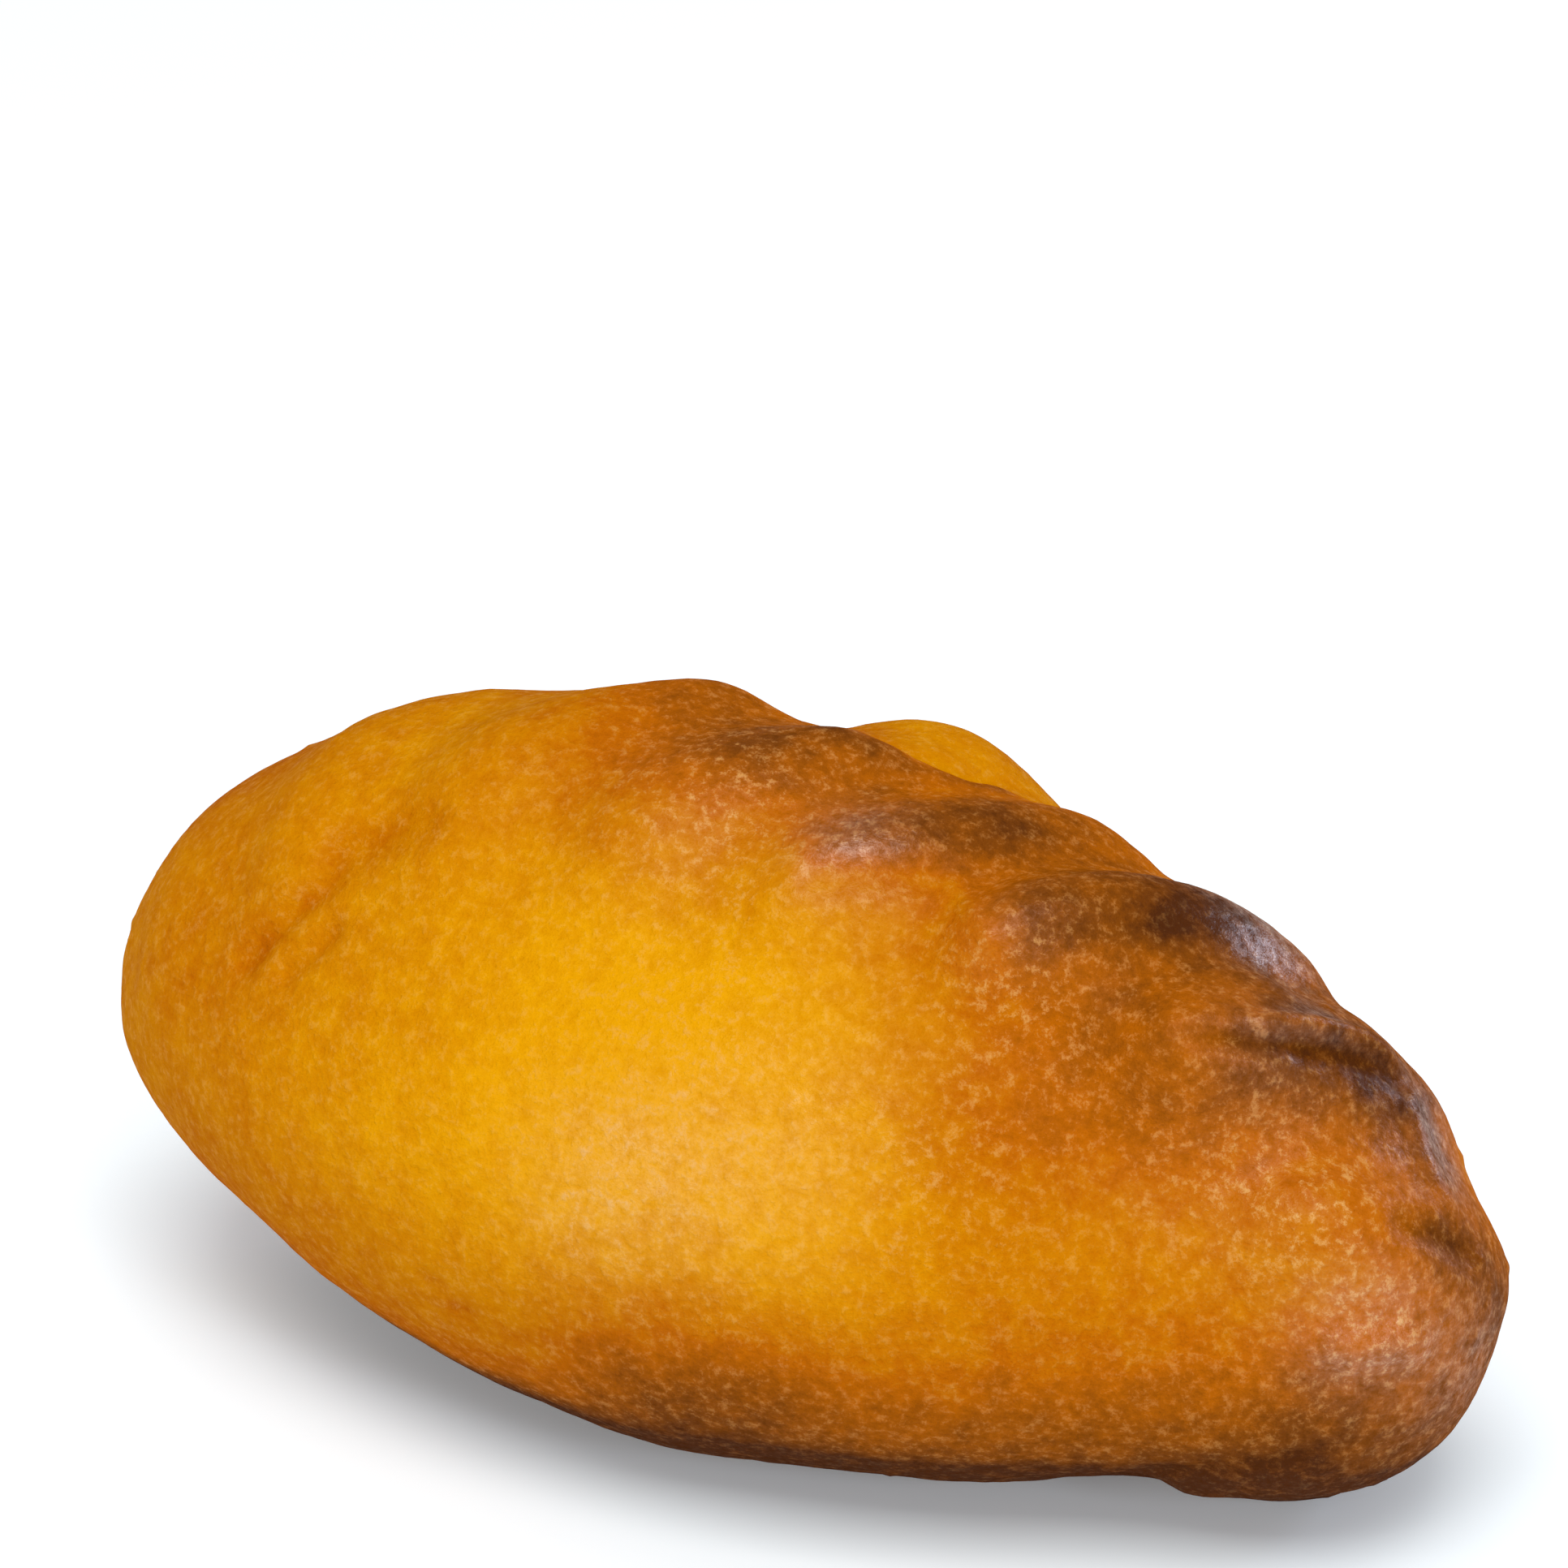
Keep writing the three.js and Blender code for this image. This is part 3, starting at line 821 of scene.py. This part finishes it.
class Nodes:
    """Adds nodes to a material and links them."""

    def __init__(self, tree):
        self.tree = tree

    def add(self, kind, inputs=None, **settings):
        """A node with its settings, and with values or other nodes' outputs on its inputs."""
        node = self.tree.nodes.new(kind)
        for name, value in settings.items():
            setattr(node, name, value)
        for name, value in (inputs or {}).items():
            self.feed(node.inputs[name], value)
        return node

    def feed(self, socket, value):
        """Links an output to a socket, or sets the socket's own value."""
        if isinstance(value, bpy.types.NodeSocket):
            self.tree.links.new(value, socket)
        else:
            socket.default_value = value

    def math(self, operation, *values, clamp=False):
        """The output of a Math node."""
        node = self.add("ShaderNodeMath", operation=operation, use_clamp=clamp)
        for socket, value in zip(node.inputs, values):
            self.feed(socket, value)
        return node.outputs[0]

    def spread(self, value, ramp):
        """The share that a ramp gives at a value, changing evenly."""
        inputs = {
            "Value": value,
            "From Min": ramp.start,
            "From Max": ramp.end,
            "To Min": ramp.low,
            "To Max": ramp.high,
        }
        return self.add("ShaderNodeMapRange", inputs).outputs["Result"]

    def blend(self, part, first, second):
        """A colour between two colours."""
        node = self.add("ShaderNodeMix", data_type="RGBA")
        for index, value in zip(MIX_INPUTS, (part, first, second)):
            self.feed(node.inputs[index], value)
        return node.outputs[MIX_RESULT]

    def speckle(self, coordinates, breadth, detail, roughness, distortion=0.0):
        """Noise whose spots are about the given breadth."""
        inputs = {
            "Vector": coordinates,
            "Scale": 1 / breadth,
            "Detail": detail,
            "Roughness": roughness,
            "Distortion": distortion,
        }
        return self.add("ShaderNodeTexNoise", inputs).outputs["Fac"]


def crust_material(colours):
    """Golden crust under an egg wash, browned and with painted light and shade as the mesh's own values
    say.
    """
    material = bpy.data.materials.new("crust_egg_wash")
    material.use_nodes = True
    material.node_tree.nodes.clear()
    nodes = Nodes(material.node_tree)
    where = nodes.add("ShaderNodeTexCoord").outputs["Object"]
    bake_and_shade = nodes.add("ShaderNodeAttribute", attribute_name="bake_and_shade").outputs["Fac"]

    blotches = nodes.speckle(where, BLOTCH_BREADTH, detail=3.0, roughness=0.5, distortion=0.2)
    flecks = nodes.speckle(where, FLECK_BREADTH, detail=4.0, roughness=0.75)
    grain = nodes.speckle(where, GRAIN_BREADTH, detail=2.0, roughness=0.6)
    mottle = nodes.math("ADD", nodes.spread(blotches, BLOTCH_SHADE), nodes.spread(flecks, FLECK_SHADE))
    mottle = nodes.math("MULTIPLY", mottle, nodes.spread(bake_and_shade, MOTTLE_STRENGTH))
    shade = nodes.math("ADD", bake_and_shade, mottle, clamp=True)

    ramp = nodes.add("ShaderNodeValToRGB", {"Fac": shade})
    stops = (colours.gold, colours.amber, colours.russet, colours.brown, colours.char)
    for spot in MIDDLE_SHADES:
        ramp.color_ramp.elements.new(spot)
    for element, colour in zip(ramp.color_ramp.elements, stops):
        element.color = (*colour, 1.0)

    # Cream flecks: pale flecks of thin egg wash, and painted sparkle where the wash shines
    cream_and_sparkle = nodes.add("ShaderNodeAttribute", attribute_name="cream_and_sparkle").outputs["Fac"]
    thin_wash_and_sparkle = nodes.math("MULTIPLY", nodes.spread(bake_and_shade, CREAM_SHARE), nodes.spread(bake_and_shade, CREAM_ON_DARK))
    thin_wash_and_sparkle = nodes.math("ADD", thin_wash_and_sparkle, cream_and_sparkle)
    thin_wash_and_sparkle = nodes.math("MULTIPLY", thin_wash_and_sparkle, nodes.spread(flecks, CREAM_FLECKS), clamp=True)
    crust_colour = nodes.blend(thin_wash_and_sparkle, ramp.outputs["Color"], (*colours.cream_and_sparkle, 1.0))

    roughness = Ramp(*GRAIN_SPREAD, colours.roughness - SMOOTHER, colours.roughness + ROUGHER)
    flecked = nodes.math("MULTIPLY", flecks, FLECK_HEIGHT)
    height = nodes.math("ADD", flecked, nodes.math("MULTIPLY", grain, GRAIN_HEIGHT))
    bump = nodes.add("ShaderNodeBump", {"Strength": 1.0, "Distance": CRUST_BUMP, "Height": height})
    ripple = nodes.add("ShaderNodeBump", {"Strength": 1.0, "Distance": GLAZE_BUMP, "Height": height})
    glaze = nodes.add("ShaderNodeAttribute", attribute_name="glaze").outputs["Fac"]
    inputs = {
        "Base Color": crust_colour,
        "Roughness": nodes.spread(grain, roughness),
        "Normal": bump.outputs["Normal"],
        "Coat Weight": nodes.math("MULTIPLY", glaze, nodes.spread(flecks, SPARKLE)),
        "Coat Roughness": colours.glaze_roughness,
        "Coat Normal": ripple.outputs["Normal"],
        "Specular IOR Level": 0.0,
    }
    surface_node = nodes.add("ShaderNodeBsdfPrincipled", inputs)
    nodes.add("ShaderNodeOutputMaterial", {"Surface": surface_node.outputs["BSDF"]})
    return material


class SALTENA_OT_crust(bpy.types.Operator):
    """Makes the crust: the body, its pleated seam and the baked skin"""

    bl_idname = "saltena.crust"
    bl_label = "Crust"

    def execute(self, context):
        scene = context.scene
        distance, folds = make_form(scene.saltena_body, scene.saltena_pleats)
        relief = scene.saltena_relief
        points = surface(distance, grid_directions(relief), scene.saltena_body)
        normals = slopes(distance, points)
        crease = creases(points, folds, scene.saltena_pleats)
        height, browned_and_shaded = marked(points)
        hollows = far_hollows(points, folds, scene.saltena_pleats)
        bulge = spotted(points, BULGES) * MM - relief.hollow * hollows
        # Painted shade in the creases between pleats and in the far hollows
        browned_and_shaded = browned_and_shaded + CREASE_PAINTED_SHADE * crease + HOLLOW_PAINTED_SHADE * hollows
        bake_and_shade = np.clip(browning(points, normals, folds) + browned_and_shaded, 0, 1)
        glaze = glazing(points, bake_and_shade, height)
        cream_and_sparkle = spotted(points, CREAM_AND_SPARKLE_SPOTS)
        raised = ease(*RELIEF_SETS_IN, points[:, 2])
        points = points + normals * (raised * (uneven(points, relief) + bulge + height))[:, None]
        points[:, 2] = np.where(points[:, 2] < FLAT_TOLERANCE, 0, points[:, 2])
        crust = new_mesh_object("crust_baked", points, grid_faces(relief))
        add_values(crust.data, "bake_and_shade", bake_and_shade)
        add_values(crust.data, "glaze", glaze)
        add_values(crust.data, "cream_and_sparkle", cream_and_sparkle)
        crust.data.materials.append(crust_material(scene.saltena_colours))
        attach(crust, "root")
        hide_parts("crust")
        return {"FINISHED"}


def outward(azimuth, elevation):
    """The direction from the pasty to a camera or a lamp."""
    flat = math.cos(elevation)
    return Vector((math.sin(azimuth) * flat, -math.cos(azimuth) * flat, math.sin(elevation)))


def add_facing(name, data, location, forward):
    """An object for a camera or a lamp, at its place and turned to look forward."""
    made = bpy.data.objects.new(name, data)
    made.location = location
    made.rotation_mode = "QUATERNION"
    made.rotation_quaternion = forward.to_track_quat("-Z", "Y")
    bpy.context.scene.collection.objects.link(made)
    return made


def add_camera(stage):
    """The camera at the photograph's place, turned so that its aim lies where the photograph has it."""
    focal_px = stage.scale / MM * stage.distance
    data = bpy.data.cameras.new("camera")
    data.sensor_width = SENSOR_WIDTH
    data.lens = focal_px / PHOTO_SIZE * SENSOR_WIDTH
    data.clip_start = NEAREST_SEEN
    back = outward(stage.azimuth, stage.elevation)
    right = Vector((math.cos(stage.azimuth), math.sin(stage.azimuth), 0))
    up = back.cross(right)
    yaw = math.atan2(stage.aim_px[0] - PHOTO_SIZE / 2, focal_px)
    pitch = math.atan2(stage.aim_px[1] - PHOTO_SIZE / 2, focal_px)
    forward = (-back * math.cos(pitch) + up * math.sin(pitch)) * math.cos(yaw) - right * math.sin(yaw)
    location = Vector(stage.aim) + back * stage.distance
    bpy.context.scene.camera = add_facing("camera", data, location, forward)


def add_lamp(lamp):
    """A square soft lamp that faces the pasty."""
    data = bpy.data.lights.new(lamp.name, "AREA")
    data.shape = "SQUARE"
    data.size = lamp.side
    data.energy = lamp.watts
    data.color = lamp.colour
    back = outward(math.radians(lamp.azimuth), math.radians(lamp.elevation))
    add_facing(lamp.name, data, LAMP_AIM + back * lamp.distance, -back)


def floor_material(stage):
    """Pale paper with a faint glow of its own."""
    material = bpy.data.materials.new("floor_paper")
    material.use_nodes = True
    paper = material.node_tree.nodes["Principled BSDF"]
    paper.inputs["Base Color"].default_value = (*stage.floor_colour, 1.0)
    paper.inputs["Emission Color"].default_value = (*stage.glow_colour, 1.0)
    paper.inputs["Emission Strength"].default_value = stage.glow
    paper.inputs["Roughness"].default_value = stage.floor_roughness
    paper.inputs["Specular IOR Level"].default_value = stage.floor_shine
    return material


def add_floor(stage):
    """A square floor under the pasty."""
    half = stage.floor_size / 2
    corners = np.array(((-half, -half, 0), (half, -half, 0), (half, half, 0), (-half, half, 0)))
    floor = new_mesh_object("floor", corners, [(0, 1, 2, 3)])
    floor.data.materials.append(floor_material(stage))
    return floor


def even_sky(stage):
    """A white sky that lights the pasty from all round."""
    world = bpy.data.worlds.new("even_sky")
    world.use_nodes = True
    sky = world.node_tree.nodes["Background"]
    sky.inputs["Color"].default_value = (*WHITE, 1.0)
    sky.inputs["Strength"].default_value = stage.sky
    return world


class SALTENA_OT_stage(bpy.types.Operator):
    """Makes the floor, the lights, the even sky and the camera"""

    bl_idname = "saltena.stage"
    bl_label = "Stage"

    def execute(self, context):
        scene = context.scene
        stage = scene.saltena_stage
        floor = add_floor(stage)
        scene.world = even_sky(stage)
        scene.view_settings.view_transform = "Standard"
        for lamp in LAMPS:
            add_lamp(lamp)
        add_camera(stage)
        return {"FINISHED"}


class SALTENA_PT_panel(bpy.types.Panel):
    """Lists the pasty's pieces and its stage"""

    bl_label = "Salteña"
    bl_space_type = "VIEW_3D"
    bl_region_type = "UI"
    bl_category = "Salteña"

    def draw(self, context):
        for operator in (SALTENA_OT_crust, SALTENA_OT_stage):
            self.layout.operator(operator.bl_idname)


GROUPS = {
    "saltena_body": SaltenaBody,
    "saltena_pleats": SaltenaPleats,
    "saltena_relief": SaltenaRelief,
    "saltena_colours": SaltenaColours,
    "saltena_stage": SaltenaStage,
}
CLASSES = (*GROUPS.values(), SALTENA_OT_crust, SALTENA_OT_stage, SALTENA_PT_panel)


def register():
    """Adds the classes, and their settings to every scene."""
    for kind in CLASSES:
        bpy.utils.register_class(kind)
    for name, group in GROUPS.items():
        setattr(bpy.types.Scene, name, PointerProperty(type=group))


def unregister():
    """Takes the settings and the classes away again."""
    for name in GROUPS:
        delattr(bpy.types.Scene, name)
    for kind in reversed(CLASSES):
        bpy.utils.unregister_class(kind)


def main():
    """Makes everything in order: the crust, then the stage."""
    register()
    bpy.ops.saltena.crust()
    bpy.ops.saltena.stage()


if __name__ == "__main__":
    main()
